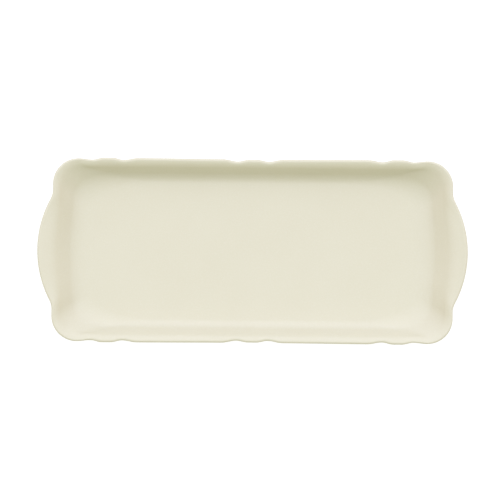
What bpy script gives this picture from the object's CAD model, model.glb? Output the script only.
"""A china serving platter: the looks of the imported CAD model, seen from above.

The CAD model is faceted, so the china and its glaze are built again here as
smooth surfaces, from the same outline and wall section as the CAD solids.
Lengths are in millimetres up to the point where a mesh is made.
"""

from math import atan, cos, pi, radians, sin, sqrt, tan

import bpy
import numpy as np
from mathutils import Matrix, Vector


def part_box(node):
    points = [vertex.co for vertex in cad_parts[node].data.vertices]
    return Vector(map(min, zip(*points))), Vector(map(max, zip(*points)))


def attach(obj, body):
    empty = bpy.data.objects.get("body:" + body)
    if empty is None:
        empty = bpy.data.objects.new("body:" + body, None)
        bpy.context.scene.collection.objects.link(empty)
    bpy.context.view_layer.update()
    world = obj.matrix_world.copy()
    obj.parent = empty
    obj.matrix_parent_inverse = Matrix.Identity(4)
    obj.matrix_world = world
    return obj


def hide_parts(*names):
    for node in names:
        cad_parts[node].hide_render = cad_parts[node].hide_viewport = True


MM = 0.001

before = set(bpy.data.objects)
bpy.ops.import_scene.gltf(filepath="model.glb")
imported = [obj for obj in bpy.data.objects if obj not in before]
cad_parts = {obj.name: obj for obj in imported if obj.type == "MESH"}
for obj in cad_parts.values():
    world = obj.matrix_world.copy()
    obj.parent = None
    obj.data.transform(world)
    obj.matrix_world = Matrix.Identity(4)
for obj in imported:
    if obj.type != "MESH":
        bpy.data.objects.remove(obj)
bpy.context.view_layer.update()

# ---- Dimensions of the CAD model -------------------------------------------

PLATTER_LEN, DISH_LEN, DISH_W = 350.0, 326.0, 150.0
CORNER_R, SHOULDER_CORNER_R, FLOOR_CORNER_RX, FLOOR_CORNER_RY = 20.5, 20.0, 52.0, 22.0
WALL_RUN, END_RUN, COVE_RUN, FLARE_RUN = 19.0, 31.0, 8.0, 7.5
WALL_SLOPE, RIM_SLOPE = radians(61), radians(15)
WALL_T, LIP_R, GLAZE_T = 3.2, 1.5, 0.3
NICK_DEPTH, NICK_1_DEPTH, NICK_DROP = 1.5, 2.0, 0.8
CORNER_DIP, MIDDLE_DIP, LONG_DIP, CREST_OUT = 0.6, 0.6, 0.3, 0.1
RUN_OUT, CREST_HALF = 12.0, 3.5
HANDLE_R, FILLET_R, SHOULDER_SHARE, HANDLE_LIFT = 89.0, 15.5, 0.3, 1.2
FOOT_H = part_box("glaze_base")[0].z / MM

FOOT_FACE, FOOT_TAPER, FOOT_INSET, FOOT_CORNER_R, GLAZE_GAP = 2.8, 0.9, 1.2, 43.0, 0.4
FOOT_EDGE_R = 0.6  # rounding of the ground face's edges
FLARE_HOLD = 0.36  # how long the flare's curve keeps to its end slopes, as a share of its chord

# ---- Looks -------------------------------------------------------------------

GLAZE_CREAM = (0.80, 0.77, 0.62)
GLAZE_DEEP = (0.79, 0.758, 0.605)
GLAZE_PALE = (0.86, 0.84, 0.74)

# Light from each part of the sky. The far side's is cool, and the ends' is warm and weak.
SKY = {
    "all round": (0.65, 0.7, 0.65),
    "above": (0.65, 0.65, 0.8),
    "far side": (1.1, 1.1, 1.5),
    "ends": (0, -0.2, -0.3),
}
BACKDROP = (1, 1, 1)
FLOOR_SIZE = 8.0  # metres
FLOOR_GAP = 0.1  # how far the floor lies below the foot
FLOOR_WHITE = 0.3
FLOOR_GLOW = 0.85  # how brightly the floor shines to the camera
FLOOR_LIGHT = 0.5  # how brightly it shines on the platter

CAMERA_LENS, CAMERA_FILM = 100, 36
CAMERA_AIM = (-2.2, 0.8, 20)
CAMERA_DISTANCE = 1130
CAMERA_TILT, CAMERA_LEAN, CAMERA_ROLL = radians(1.9), radians(-0.3), radians(0.5)

# How finely each stretch is divided.
SIDE_STEPS, CORNER_STEPS, END_STEPS = 84, 18, 42
COVE_STEPS, STEEP_STEPS, FLARE_STEPS, LIP_STEPS = 12, 2, 12, 18
FOOT_TURN_STEPS, FOOT_EDGE_STEPS, BASE_EDGE_STEPS = 16, 5, 3
SHARP_ANGLE = radians(40)  # edges that turn more than this look sharp


def outline(end_inset, side_inset, rx, ry):
    """A rectangle inside the nominal edge, rounded by quarter ellipses: half length, half
    width, and the corners' radii along x and y."""
    return np.array([DISH_LEN / 2 - end_inset, DISH_W / 2 - side_inset, rx, ry])


EDGE = outline(0, 0, CORNER_R, CORNER_R)
SHOULDER = outline(FLARE_RUN, FLARE_RUN, SHOULDER_CORNER_R, SHOULDER_CORNER_R)
FLOOR = outline(END_RUN, WALL_RUN, FLOOR_CORNER_RX, FLOOR_CORNER_RY)
FOOT = outline(END_RUN + FOOT_INSET, WALL_RUN + FOOT_INSET, FOOT_CORNER_R, FOOT_CORNER_R)
GLAZE_LINE = FOOT + GLAZE_GAP  # where the glaze stops short of the foot ring


def side_end(o):
    """x where a long side turns into the corner."""
    return o[0] - o[2]


def end_end(o):
    """y where an end turns into the corner."""
    return o[1] - o[3]


NICK_1, NICK_2, NICK_3 = np.array([0.089, 0.741, 0.921]) * side_end(EDGE)
CREST_2 = (NICK_2 + NICK_3) / 2

# Along a long side: distance from the middle, and how far the edge lies outside
# the nominal one.
EDGE_WAVE = np.array([
    (0, -MIDDLE_DIP),
    (CREST_HALF, -MIDDLE_DIP),
    (NICK_1, -NICK_1_DEPTH),
    (NICK_1 + RUN_OUT, -LONG_DIP),
    (NICK_2 - RUN_OUT, 0),
    (NICK_2, -NICK_DEPTH),
    (CREST_2 - CREST_HALF, CREST_OUT),
    (CREST_2 + CREST_HALF, CREST_OUT),
    (NICK_3, -NICK_DEPTH),
    (side_end(EDGE), -CORNER_DIP),
])

GRIP_CX = PLATTER_LEN / 2 - HANDLE_R
FILLET_Y = sqrt((HANDLE_R + FILLET_R) ** 2 - (EDGE[0] + FILLET_R - GRIP_CX) ** 2)
GRIP_Y = FILLET_Y * HANDLE_R / (HANDLE_R + FILLET_R)


def edge_wave(x):
    """The scalloped edge's distance outside the nominal one, half cosines between points."""
    i = np.clip(np.searchsorted(EDGE_WAVE[:, 0], x, side="right") - 1, 0, len(EDGE_WAVE) - 2)
    (x0, a), (x1, b) = EDGE_WAVE[i].T, EDGE_WAVE[i + 1].T
    return a + (b - a) * (1 - np.cos(pi * (x - x0) / (x1 - x0))) / 2


def reach(y):
    """How far a handle's edge lies beyond the end of the dish."""
    arc = GRIP_CX + np.sqrt(HANDLE_R**2 - np.minimum(y, GRIP_Y) ** 2) - EDGE[0]
    fillet = FILLET_R - np.sqrt(FILLET_R**2 - np.clip(FILLET_Y - y, 0, FILLET_R) ** 2)
    return np.where(y > GRIP_Y, fillet, arc)


def bulge(y):
    """How far the shoulder bulges out under a handle."""
    return SHOULDER_SHARE * reach(0) * (1 + np.cos(pi * y / end_end(EDGE))) / 2


def lift(y):
    """How much higher a handle's lip is than the dish's."""
    return HANDLE_LIFT * (1 + np.cos(pi * np.minimum(y / FILLET_Y, 1))) / 2


def squeeze(v, start, stop_from, stop_to):
    """v, squeezed beyond start so that stop_from lands on stop_to."""
    return np.where(v <= start, v, start + (v - start) * (stop_to - start) / (stop_from - start))


def corner(o, a, dip=0.0):
    """Points of an outline's corner, from its side at a = 0 to its end at a = pi / 2."""
    return np.column_stack([side_end(o) + (o[2] - dip) * np.sin(a),
                            end_end(o) + (o[3] - dip) * np.cos(a)])


def quarter():
    """Where the wall's sections stand, from the middle of a long side to the middle of a
    handle: points of the edge, shoulder, floor and glaze line, the lip's drop there, and the
    wall's run from floor to shoulder, square to the shoulder."""
    x = np.linspace(0, side_end(EDGE), SIDE_STEPS, endpoint=False)
    out = edge_wave(x)
    turn = np.linspace(0, pi / 2, CORNER_STEPS, endpoint=False)
    dip = CORNER_DIP * np.cos(turn)
    y = np.linspace(end_end(EDGE), 0, END_STEPS + 1)
    far = reach(y)

    def line(o, x_from, y_from, side_out=0.0, corner_in=0.0, end_out=0.0):
        """An outline's points, drawn in towards its corner from x_from and y_from on."""
        along = squeeze(x, x_from, side_end(EDGE), side_end(o))
        down = squeeze(y, y_from, end_end(EDGE), end_end(o))
        return np.concatenate([
            np.column_stack([along, np.full_like(x, o[1]) + side_out]),
            corner(o, turn, corner_in),
            np.column_stack([np.full_like(y, o[0]) + end_out, down]),
        ])

    drop = np.concatenate([NICK_DROP * np.maximum(0, -out) / NICK_DEPTH,
                           NICK_DROP * dip / NICK_DEPTH, -lift(y)])
    shoulder = line(SHOULDER, CREST_2, GRIP_Y / 2, end_out=bulge(y))
    floor = line(FLOOR, NICK_1, 0)
    facing = np.concatenate([np.zeros_like(x), turn, np.full_like(y, pi / 2)])
    square_run = ((shoulder - floor) * np.column_stack([np.sin(facing), np.cos(facing)])).sum(axis=1)
    return [line(EDGE, 0, 0, out, dip, far), shoulder, floor, line(GLAZE_LINE, NICK_1, 0), drop,
            square_run]


def all_round(values):
    """A quarter's values carried round the platter, clockwise from the middle of +Y."""
    flips = [(1, 1), (1, -1), (-1, -1), (-1, 1)]
    parts = []
    for i, flip in enumerate(flips):
        part = values if values.ndim == 1 else values * flip
        parts.append(part[:-1] if i % 2 == 0 else part[:0:-1])
    return np.concatenate(parts)


(EDGE_PTS, SHOULDER_PTS, FLOOR_PTS, GLAZE_LINE_PTS, DROP,
 SQUARE_RUN) = (all_round(v) for v in quarter())
QUARTER = SIDE_STEPS + CORNER_STEPS + END_STEPS
STATIONS = 4 * QUARTER

# ---- The wall in section ---------------------------------------------------

FLOOR_Z = FOOT_H + WALL_T
COVE_R = COVE_RUN / sin(WALL_SLOPE)
STEEP_RUN = WALL_RUN - COVE_RUN - FLARE_RUN
SHOULDER_Z = FLOOR_Z + COVE_R * (1 - cos(WALL_SLOPE)) + STEEP_RUN * tan(WALL_SLOPE)
CROWN_IN = LIP_R * (1 + sin(RIM_SLOPE))
CROWN_Z = SHOULDER_Z + (FLARE_RUN - CROWN_IN) * tan((WALL_SLOPE + RIM_SLOPE) / 2)
LIP_Z = CROWN_Z - LIP_R * cos(RIM_SLOPE)

SHOULDER_RING = COVE_STEPS + STEEP_STEPS
CROWN_RING = SHOULDER_RING + FLARE_STEPS
EQUATOR_RING = CROWN_RING + LIP_STEPS // 2
UNDER_RING = CROWN_RING + LIP_STEPS + FLARE_STEPS
LAST_RING = UNDER_RING + SHOULDER_RING + 1


def bezier(p, u):
    """Points and slopes of cubic curves: p holds four (n, 2) arrays, u is (m,)."""
    p = [q[:, None, :] for q in p]
    u = u[None, :, None]
    v = 1 - u
    point = v**3 * p[0] + 3 * u * v**2 * p[1] + 3 * u**2 * v * p[2] + u**3 * p[3]
    d = v**2 * (p[1] - p[0]) + 2 * u * v * (p[2] - p[1]) + u**2 * (p[3] - p[2])
    return point, np.arctan2(d[..., 1], d[..., 0])


def upper_face(run, end):
    """The upper face of every section, from the floor's edge to the crown of the lip:
    points as (distance out, height), ways down through the wall, and its thickness. A section
    may cross the wall slantwise, up to the shoulder, and its way down is longer there."""
    stretch = (run / (WALL_RUN - FLARE_RUN))[:, None]
    square_stretch = (SQUARE_RUN / (WALL_RUN - FLARE_RUN))[:, None]
    a = WALL_SLOPE * np.arange(COVE_STEPS + 1)[None, :] / COVE_STEPS
    cove = np.stack([COVE_R * np.sin(a) * stretch,
                     np.broadcast_to(FLOOR_Z + COVE_R * (1 - np.cos(a)), (STATIONS, COVE_STEPS + 1))],
                    axis=-1)
    cove_slope = np.arctan(np.tan(a) / stretch)

    top = np.column_stack([run, np.full_like(run, SHOULDER_Z)])
    u = np.arange(1, STEEP_STEPS + 1)[None, :, None] / STEEP_STEPS
    steep = cove[:, -1:] + (top[:, None] - cove[:, -1:]) * u

    crown = np.column_stack([end - CROWN_IN, CROWN_Z - DROP])
    hold = FLARE_HOLD * np.linalg.norm(crown - top, axis=1)[:, None]
    square_slope = np.arctan(np.tan(a) / square_stretch)
    flare_from = square_slope[:, -1]
    start = np.column_stack([np.cos(flare_from), np.sin(flare_from)])
    curve = [top,
             top + hold * start,
             crown - hold * [cos(RIM_SLOPE), sin(RIM_SLOPE)],
             crown]
    u = np.arange(1, FLARE_STEPS + 1) / FLARE_STEPS
    flare, flare_slope = bezier(curve, u)

    points = np.concatenate([cove, steep, flare], axis=1)
    steep_slope = np.repeat(cove_slope[:, -1:], STEEP_STEPS - 1, axis=1)
    slopes = np.concatenate([cove_slope, steep_slope, flare_from[:, None], flare_slope], axis=1)
    longer = np.cos(cove_slope) / np.cos(square_slope)
    longer = np.concatenate([longer, np.repeat(longer[:, -1:], STEEP_STEPS - 1, axis=1),
                             np.ones((STATIONS, FLARE_STEPS + 1))], axis=1)
    down = np.stack([np.sin(slopes), -np.cos(slopes)], axis=-1) * longer[..., None]
    thick = np.concatenate([np.full(SHOULDER_RING + 1, WALL_T), WALL_T + (2 * LIP_R - WALL_T) * u])
    return points, down, thick


def skin(inset):
    """The platter's surface, inset inside the finished one, as (station, ring, xyz). Rings
    run from the floor's edge out, over the lip and back underneath to the glaze line."""
    run = np.linalg.norm(SHOULDER_PTS - FLOOR_PTS, axis=1)
    rim = np.linalg.norm(EDGE_PTS - SHOULDER_PTS, axis=1)
    upper, down, thick = upper_face(run, run + rim)
    a = pi / 2 + RIM_SLOPE - pi * np.arange(1, LIP_STEPS) / LIP_STEPS
    centre = np.column_stack([run + rim - LIP_R, LIP_Z - DROP])
    lip = centre[:, None] + (LIP_R - inset) * np.column_stack([np.cos(a), np.sin(a)])[None]
    lower = upper + down * (thick - inset)[None, :, None]
    flat = np.concatenate([upper + down * inset, lip, lower[:, ::-1]], axis=1)

    out = flat[..., :1]
    to_shoulder = FLOOR_PTS[:, None] + (SHOULDER_PTS - FLOOR_PTS)[:, None] * out / run[:, None, None]
    to_edge = SHOULDER_PTS[:, None] + (EDGE_PTS - SHOULDER_PTS)[:, None] * (
        (out - run[:, None, None]) / rim[:, None, None])
    plan = np.where(out <= run[:, None, None], to_shoulder, to_edge)
    points = np.concatenate([plan, flat[..., 1:]], axis=-1)
    glaze_line = np.column_stack([GLAZE_LINE_PTS, np.full(STATIONS, FOOT_H + inset)])
    return np.concatenate([points, glaze_line[:, None]], axis=1)


def tangents(steps):
    """Unit directions through the points between steps, from the two steps that meet there."""
    unit = steps / np.linalg.norm(steps, axis=2, keepdims=True)
    return unit[1:] + unit[:-1]


def skin_normals(points):
    """Outward normals of a skin, from its own grid."""
    closed = np.concatenate([points[-1:], points, points[:1]])
    onward = tangents(np.diff(closed, axis=0))
    steps = np.diff(points, axis=1).swapaxes(0, 1)
    outward = tangents(np.concatenate([steps[:1], steps, steps[-1:]])).swapaxes(0, 1)
    normals = np.cross(onward, outward)
    normals[:, 0] = (0, 0, 1)
    normals[:, -2:] = (0, 0, -1)
    return normals / np.linalg.norm(normals, axis=2, keepdims=True)


# The finished surface is layer 0, and the china under the glaze is layer 1.
LAYERS = [skin(0.0), skin(GLAZE_T)]
POINTS = np.concatenate(LAYERS).reshape(-1, 3)
NORMALS = np.concatenate([skin_normals(layer) for layer in LAYERS]).reshape(-1, 3)


# ---- Patches: lists of faces, with the side that their normals are on --------


def at(k, j, layer=0):
    """Number of the point on station k and ring j of a layer."""
    return (layer * STATIONS + k % STATIONS) * (LAST_RING + 1) + j


def grid(stations, first, last, layer=0):
    """The skin between rings first and last, over the stretches that start at stations."""
    k, j = np.meshgrid(stations, np.arange(first, last), indexing="ij")
    corners = [at(k, j, layer), at(k + 1, j, layer), at(k + 1, j + 1, layer), at(k, j + 1, layer)]
    return np.stack(corners, axis=-1).reshape(-1, 4).tolist()


def sheet(ring, layer=0):
    """The flat sheet inside a ring: strips between the long sides, and one piece at each end."""
    corner_end = SIDE_STEPS + CORNER_STEPS
    strips = [[i, 2 * QUARTER - i, 2 * QUARTER - i - 1, i + 1]
              for i in range(1 - corner_end, corner_end - 1)]
    ends = [[i + turn for i in range(2 * QUARTER - corner_end + 1, corner_end - 2, -1)]
            for turn in (0, 2 * QUARTER)]
    return [[at(i, ring, layer) for i in face] for face in strips + ends]


def turned(faces):
    """The same faces, seen from behind."""
    return [face[::-1] for face in faces]


def root_cut(k):
    """A handle's section at station k, from the shoulder round the lip to the shoulder's
    underside, seen from before that station."""
    return [at(k, np.arange(SHOULDER_RING, UNDER_RING + 1), 1).tolist()]


def shoulder_cut(stations):
    """The cut between a handle and the dish, seen from the handle."""
    k = np.asarray(stations)
    corners = [at(k, SHOULDER_RING, 1), at(k + 1, SHOULDER_RING, 1), at(k + 1, UNDER_RING, 1),
               at(k, UNDER_RING, 1)]
    return np.stack(corners, axis=-1).tolist()


def coat(first, last):
    """A coat of glaze from ring first to ring last, closed along its far edge."""
    return [(grid(ALL_ROUND, first, last), 1), (turned(grid(ALL_ROUND, first, last, 1)), -1),
            (coat_edge(last), 0)]


def coat_edge(ring):
    """The glaze's edge along a ring, seen from the rings after it."""
    k = ALL_ROUND
    corners = [at(k, ring), at(k + 1, ring), at(k + 1, ring, 1), at(k, ring, 1)]
    return np.stack(corners, axis=-1).tolist()


ALL_ROUND = np.arange(STATIONS)
CUSP = SIDE_STEPS + CORNER_STEPS + 1  # the station just before a handle's hollow starts
RIGHT_GRIP = np.arange(CUSP, 2 * QUARTER - CUSP)
LEFT_GRIP = RIGHT_GRIP + 2 * QUARTER

# ---- Pieces ------------------------------------------------------------------


def add_piece(name, mesh, node, material):
    """A mesh as a piece that rides on the platter and stands for a CAD node."""
    mesh.materials.append(material)
    piece = bpy.data.objects.new(name, mesh)
    bpy.context.scene.collection.objects.link(piece)
    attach(piece, "root")
    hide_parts(node)
    return piece


def smooth_mesh(name, points, faces):
    """A mesh in metres, smooth but for its sharp edges."""
    mesh = bpy.data.meshes.new(name)
    mesh.from_pydata((np.asarray(points) * MM).tolist(), [], faces)
    mesh.shade_smooth()
    mesh.set_sharp_from_angle(angle=SHARP_ANGLE)
    return mesh


def skin_mesh(name, patches):
    """A mesh of patches of the skins, with the normals of the true surface."""
    faces = [face for patch, _ in patches for face in patch]
    corners = np.concatenate(faces)
    used, number = np.unique(corners, return_inverse=True)
    ends = np.cumsum([len(face) for face in faces])
    mesh = smooth_mesh(name, POINTS[used], [f.tolist() for f in np.split(number, ends[:-1])])
    side = np.concatenate([np.full(sum(map(len, patch)), s) for patch, s in patches])
    mesh.normals_split_custom_set((NORMALS[corners] * side[:, None]).tolist())
    return mesh


def dish_mesh():
    """Floor, wall and rim, without the rim of the two handles."""
    rest = np.setdiff1d(ALL_ROUND, np.concatenate([RIGHT_GRIP, LEFT_GRIP]))
    patches = [(sheet(0, 1), 1), (turned(sheet(LAST_RING, 1)), 1),
               (grid(ALL_ROUND, 0, SHOULDER_RING, 1), 1),
               (grid(rest, SHOULDER_RING, UNDER_RING, 1), 1),
               (grid(ALL_ROUND, UNDER_RING, LAST_RING, 1), 1)]
    for grip in (RIGHT_GRIP, LEFT_GRIP):
        cuts = shoulder_cut(grip) + turned(root_cut(grip[0])) + root_cut(grip[-1] + 1)
        patches.append((cuts, 0))
    return skin_mesh("china_dish", patches)


def handle_mesh(name, grip):
    """The flared rim that makes one handle."""
    cuts = turned(shoulder_cut(grip)) + root_cut(grip[0]) + turned(root_cut(grip[-1] + 1))
    return skin_mesh(name, [(grid(grip, SHOULDER_RING, UNDER_RING, 1), 1), (cuts, 0)])


def glaze_face_mesh():
    """The glaze over the floor, the wall, the rim and both handles."""
    return skin_mesh("glaze_face_coat", [(sheet(0), 1), (turned(sheet(0, 1)), -1),
                                         *coat(0, EQUATOR_RING)])


def glaze_back_mesh():
    """The glaze from the lip's outer line down the outside to the foot."""
    return skin_mesh("glaze_back_coat", [(turned(coat_edge(EQUATOR_RING)), 0),
                                         *coat(EQUATOR_RING, LAST_RING)])


def foot_outline(inset, z):
    """The foot ring's outer line, moved in by inset: counterclockwise points at height z."""
    a = np.linspace(0, pi / 2, FOOT_TURN_STEPS + 1)
    turn = corner(FOOT, a, inset)[::-1]
    quarters = [turn, turn[::-1] * (-1, 1), turn * (-1, -1), turn[::-1] * (1, -1)]
    ring = np.concatenate(quarters)
    return np.column_stack([ring, np.full(len(ring), z)])


def joined(rings):
    """Faces between each ring of a list and the next."""
    n = len(rings[0])
    return [[r * n + i, r * n + (i + 1) % n, (r + 1) * n + (i + 1) % n, (r + 1) * n + i]
            for r in range(len(rings) - 1) for i in range(n)]


def foot_ring_mesh():
    """The foot ring: its section carried round, with the ground face's edges rounded off."""
    top = FOOT_H + GLAZE_T
    width = FOOT_FACE + 2 * FOOT_TAPER
    lean = atan(FOOT_TAPER / FOOT_H)
    a = np.linspace(lean, pi / 2, FOOT_EDGE_STEPS + 1)
    shift = FOOT_EDGE_R * tan((pi / 2 - lean) / 2)
    outer = [(0, top), (0, FOOT_H)] + [
        (FOOT_TAPER + shift - FOOT_EDGE_R * cos(t), FOOT_EDGE_R * (1 - sin(t))) for t in a]
    section = outer + [(width - inset, z) for inset, z in reversed(outer)]
    rings = [foot_outline(inset, z) for inset, z in section + section[:1]]
    n = len(rings[0])
    faces = [[i % (n * len(section)) for i in face] for face in joined(rings)]
    return smooth_mesh("foot_ring_china", np.concatenate(rings[:-1]), turned(faces))


def glaze_base_mesh():
    """The glaze on the panel inside the foot ring, drawn in along its lower edge."""
    gap = FOOT_FACE + 2 * FOOT_TAPER + GLAZE_GAP
    a = np.linspace(0, pi / 2, BASE_EDGE_STEPS + 1)
    edge = [(GLAZE_T * (1 - cos(t)), FOOT_H + GLAZE_T * (1 - sin(t))) for t in a]
    rings = [foot_outline(gap + inset, z) for inset, z in edge]
    n = len(rings[0])
    lid = list(range(n))
    panel = [i + (len(rings) - 1) * n for i in reversed(range(n))]
    return smooth_mesh("glaze_base_coat", np.concatenate(rings), turned(joined(rings)) + [lid, panel])


# ---- Materials ---------------------------------------------------------------


def new_material(name):
    """A material with an empty Principled shader, and a function that adds nodes to it."""
    material = bpy.data.materials.new(name)
    material.use_nodes = True
    tree = material.node_tree
    shader = tree.nodes["Principled BSDF"]

    def add(kind, links=(), **values):
        node = tree.nodes.new(kind)
        for key, value in values.items():
            if key in node.inputs:
                node.inputs[key].default_value = value
            else:
                setattr(node, key, value)
        for key, source in dict(links).items():
            tree.links.new(source, node.inputs[key])
        return node

    def link(source, socket):
        tree.links.new(source, shader.inputs[socket])

    return material, shader, add, link


def noise(add, where, period, detail=2.0):
    """Noise about period millimetres across, from 0 to 1."""
    node = add("ShaderNodeTexNoise", {"Vector": where}, Scale=1 / (period * MM), Detail=detail)
    return node.outputs["Fac"]


def ramp(add, source, *stops):
    """Colours or greys at places from 0 to 1."""
    node = add("ShaderNodeValToRGB", {"Fac": source})
    elements = node.color_ramp.elements
    for i, (place, colour) in enumerate(stops):
        element = elements[i] if i < 2 else elements.new(place)
        element.position = place
        element.color = (*colour, 1) if isinstance(colour, tuple) else (colour, colour, colour, 1)
    return node.outputs["Color"]


def feed(socket, value):
    """A node's output, a colour or a number into a socket."""
    if hasattr(value, "is_output"):
        socket.id_data.links.new(value, socket)
    elif socket.type == "RGBA":
        socket.default_value = (*value, 1)
    else:
        socket.default_value = value


def mixed(add, factor, a, b):
    """Colour a to colour b by factor. A Mix node's sockets for colours are numbers 6 and 7."""
    node = add("ShaderNodeMix", data_type="RGBA")
    for i, value in ((0, factor), (6, a), (7, b)):
        feed(node.inputs[i], value)
    return node.outputs[2]


def bumped(add, link, *layers):
    """Bumps of (height source, height in millimetres), laid over one another."""
    normal = None
    for height, mm in layers:
        links = {"Height": height} if normal is None else {"Height": height, "Normal": normal}
        normal = add("ShaderNodeBump", links, Strength=1.0, Distance=mm * MM).outputs["Normal"]
    link(normal, "Normal")


def glaze_material():
    """Cream glaze: softly clouded, with a fine paler grain, and waves as of a fired coat."""
    material, shader, add, link = new_material("cream_glaze")
    where = add("ShaderNodeTexCoord").outputs["Object"]
    cloud = noise(add, where, 45, 3.0)
    grain = noise(add, where, 1.4, 2.0)
    body = ramp(add, cloud, (0.3, GLAZE_DEEP), (0.7, GLAZE_CREAM))
    body = mixed(add, ramp(add, grain, (0.45, 0.0), (0.8, 0.25)), body, GLAZE_PALE)
    link(body, "Base Color")
    link(ramp(add, cloud, (0.3, 0.10), (0.75, 0.17)), "Roughness")
    shader.inputs["IOR"].default_value = 1.5
    bumped(add, link, (noise(add, where, 30, 1.0), 0.18), (noise(add, where, 3.5, 2.0), 0.006))
    return material


def china_material():
    """Unglazed china: matte, fine-grained, with a few dark specks."""
    material, shader, add, link = new_material("bare_china")
    where = add("ShaderNodeTexCoord").outputs["Object"]
    grain = noise(add, where, 0.5, 4.0)
    cloud = noise(add, where, 18, 3.0)
    specks = add("ShaderNodeTexVoronoi", {"Vector": where}, Scale=1 / (2.2 * MM)).outputs["Distance"]
    body = ramp(add, cloud, (0.3, (0.73, 0.70, 0.62)), (0.7, (0.80, 0.78, 0.71)))
    body = mixed(add, ramp(add, grain, (0.4, 0.0), (0.75, 0.5)), body, (0.66, 0.62, 0.54))
    link(mixed(add, ramp(add, specks, (0.05, 0.7), (0.09, 0.0)), body, (0.30, 0.26, 0.21)), "Base Color")
    link(ramp(add, grain, (0.3, 0.62), (0.7, 0.85)), "Roughness")
    bumped(add, link, (grain, 0.03), (noise(add, where, 4, 2.0), 0.05))
    return material


def foot_material():
    """The ring's bare china, rubbed grey and smoother on the ground face it stands on."""
    material, shader, add, link = new_material("foot_china")
    where = add("ShaderNodeTexCoord").outputs["Object"]
    grain = noise(add, where, 0.4, 4.0)
    patches = noise(add, where, 9, 4.0)
    height = add("ShaderNodeSeparateXYZ", {"Vector": where}).outputs["Z"]
    low = add("ShaderNodeMapRange", {"Value": height},
              **{"From Min": FOOT_EDGE_R * MM, "From Max": 0.0, "To Max": 0.75}).outputs["Result"]
    rubbed = add("ShaderNodeMath", {0: low, 1: ramp(add, patches, (0.38, 0.2), (0.62, 1.0))},
                 operation="MULTIPLY").outputs["Value"]
    body = ramp(add, grain, (0.3, (0.74, 0.71, 0.63)), (0.7, (0.82, 0.80, 0.73)))
    link(mixed(add, rubbed, body, (0.60, 0.575, 0.52)), "Base Color")
    link(mixed(add, rubbed, (0.8, 0.8, 0.8), (0.45, 0.45, 0.45)), "Roughness")
    bumped(add, link, (grain, 0.04))
    return material


def print_material():
    """Grey-blue underglaze print, a little uneven, with soft pinholes."""
    material, shader, add, link = new_material("mark_print")
    where = add("ShaderNodeTexCoord").outputs["Object"]
    uneven = noise(add, where, 2.5, 3.0)
    holes = noise(add, where, 0.35, 2.0)
    body = ramp(add, uneven, (0.3, (0.13, 0.17, 0.23)), (0.7, (0.22, 0.27, 0.34)))
    link(mixed(add, ramp(add, holes, (0.66, 0.0), (0.74, 0.6)), body, (0.62, 0.62, 0.58)), "Base Color")
    link(ramp(add, uneven, (0.3, 0.22), (0.7, 0.38)), "Roughness")
    bumped(add, link, (uneven, 0.01))
    return material


# ---- Studio ------------------------------------------------------------------


def add_floor():
    """A plain white floor that glows a little, as a lit sweep does, just clear of the foot. It
    can be seen through from below, so that the foot can be looked at."""
    bpy.ops.mesh.primitive_plane_add(size=FLOOR_SIZE, location=(0, 0, -FLOOR_GAP * MM))
    floor = bpy.context.object
    floor.name = "studio_floor"
    material, shader, add, link = new_material("studio_white")
    shader.inputs["Base Color"].default_value = (FLOOR_WHITE, FLOOR_WHITE, FLOOR_WHITE, 1)
    shader.inputs["Roughness"].default_value = 0.9
    shader.inputs["Emission Color"].default_value = (1, 1, 1, 1)
    seen = add("ShaderNodeLightPath").outputs["Is Camera Ray"]
    link(add("ShaderNodeMapRange", {"Value": seen},
             **{"To Min": FLOOR_LIGHT, "To Max": FLOOR_GLOW}).outputs["Result"], "Emission Strength")
    clear = add("ShaderNodeBsdfTransparent")
    behind = add("ShaderNodeNewGeometry").outputs["Backfacing"]
    either = add("ShaderNodeMixShader", {0: behind, 1: shader.outputs["BSDF"], 2: clear.outputs["BSDF"]})
    tree = material.node_tree
    tree.links.new(either.outputs["Shader"], tree.nodes["Material Output"].inputs["Surface"])
    floor.data.materials.append(material)


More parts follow.
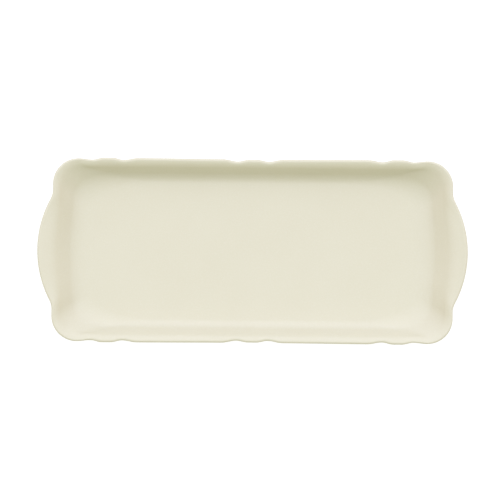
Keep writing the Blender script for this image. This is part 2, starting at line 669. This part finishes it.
def light_studio():
    """Light from all round: colours times shares that depend on the direction, added up."""
    world = bpy.data.worlds.new("studio")
    bpy.context.scene.world = world
    world.use_nodes = True
    nodes = world.node_tree.nodes

    def sum_of(a, b, c):
        """a times b, plus c."""
        node = nodes.new("ShaderNodeVectorMath")
        node.operation = "MULTIPLY_ADD"
        for socket, value in zip(node.inputs, (a, b, c)):
            feed(socket, value)
        return node.outputs["Vector"]

    def part(vector, axis):
        """One of a vector's x, y and z."""
        node = nodes.new("ShaderNodeSeparateXYZ")
        feed(node.inputs[0], vector)
        return node.outputs[axis]

    direction = nodes.new("ShaderNodeTexCoord").outputs["Generated"]
    by_height = sum_of(direction, part(direction, "Z"), (0, 0, 0))
    by_length = sum_of(direction, part(direction, "X"), (0, 0, 0))
    total = SKY["all round"]
    for name, share in (("above", part(by_height, "Z")), ("far side", part(by_height, "Y")),
                        ("ends", part(by_length, "X"))):
        total = sum_of(share, SKY[name], total)
    seen = nodes.new("ShaderNodeLightPath").outputs["Is Camera Ray"]
    feed(nodes["Background"].inputs["Color"], sum_of(seen, sum_of(total, (-1, -1, -1), BACKDROP), total))


def add_camera():
    """A camera almost straight above the platter, leaning a little towards the near side."""
    turn = (Matrix.Rotation(CAMERA_TILT, 3, "X") @ Matrix.Rotation(CAMERA_LEAN, 3, "Y")
            @ Matrix.Rotation(CAMERA_ROLL, 3, "Z"))
    data = bpy.data.cameras.new("camera")
    data.lens = CAMERA_LENS
    data.sensor_width = CAMERA_FILM
    camera = bpy.data.objects.new("camera", data)
    camera.matrix_world = (Matrix.Translation(Vector(CAMERA_AIM) * MM)
                           @ turn.to_4x4() @ Matrix.Translation((0, 0, CAMERA_DISTANCE * MM)))
    bpy.context.scene.collection.objects.link(camera)
    bpy.context.scene.camera = camera


def main():
    glaze, china = glaze_material(), china_material()
    add_piece("china_dish", dish_mesh(), "dish", china)
    add_piece("china_handle_left", handle_mesh("china_handle_left", LEFT_GRIP), "handle_left",
              china)
    add_piece("china_handle_right", handle_mesh("china_handle_right", RIGHT_GRIP), "handle_right",
              china)
    add_piece("foot_ring_china", foot_ring_mesh(), "foot_ring", foot_material())
    add_piece("glaze_face_coat", glaze_face_mesh(), "glaze_face", glaze)
    add_piece("glaze_back_coat", glaze_back_mesh(), "glaze_back", glaze)
    add_piece("glaze_base_coat", glaze_base_mesh(), "glaze_base", glaze)
    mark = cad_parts["base_mark"]
    mark.data.materials.clear()
    mark.data.materials.append(print_material())
    add_floor()
    light_studio()
    add_camera()
    bpy.context.scene.view_settings.view_transform = "Standard"


main()
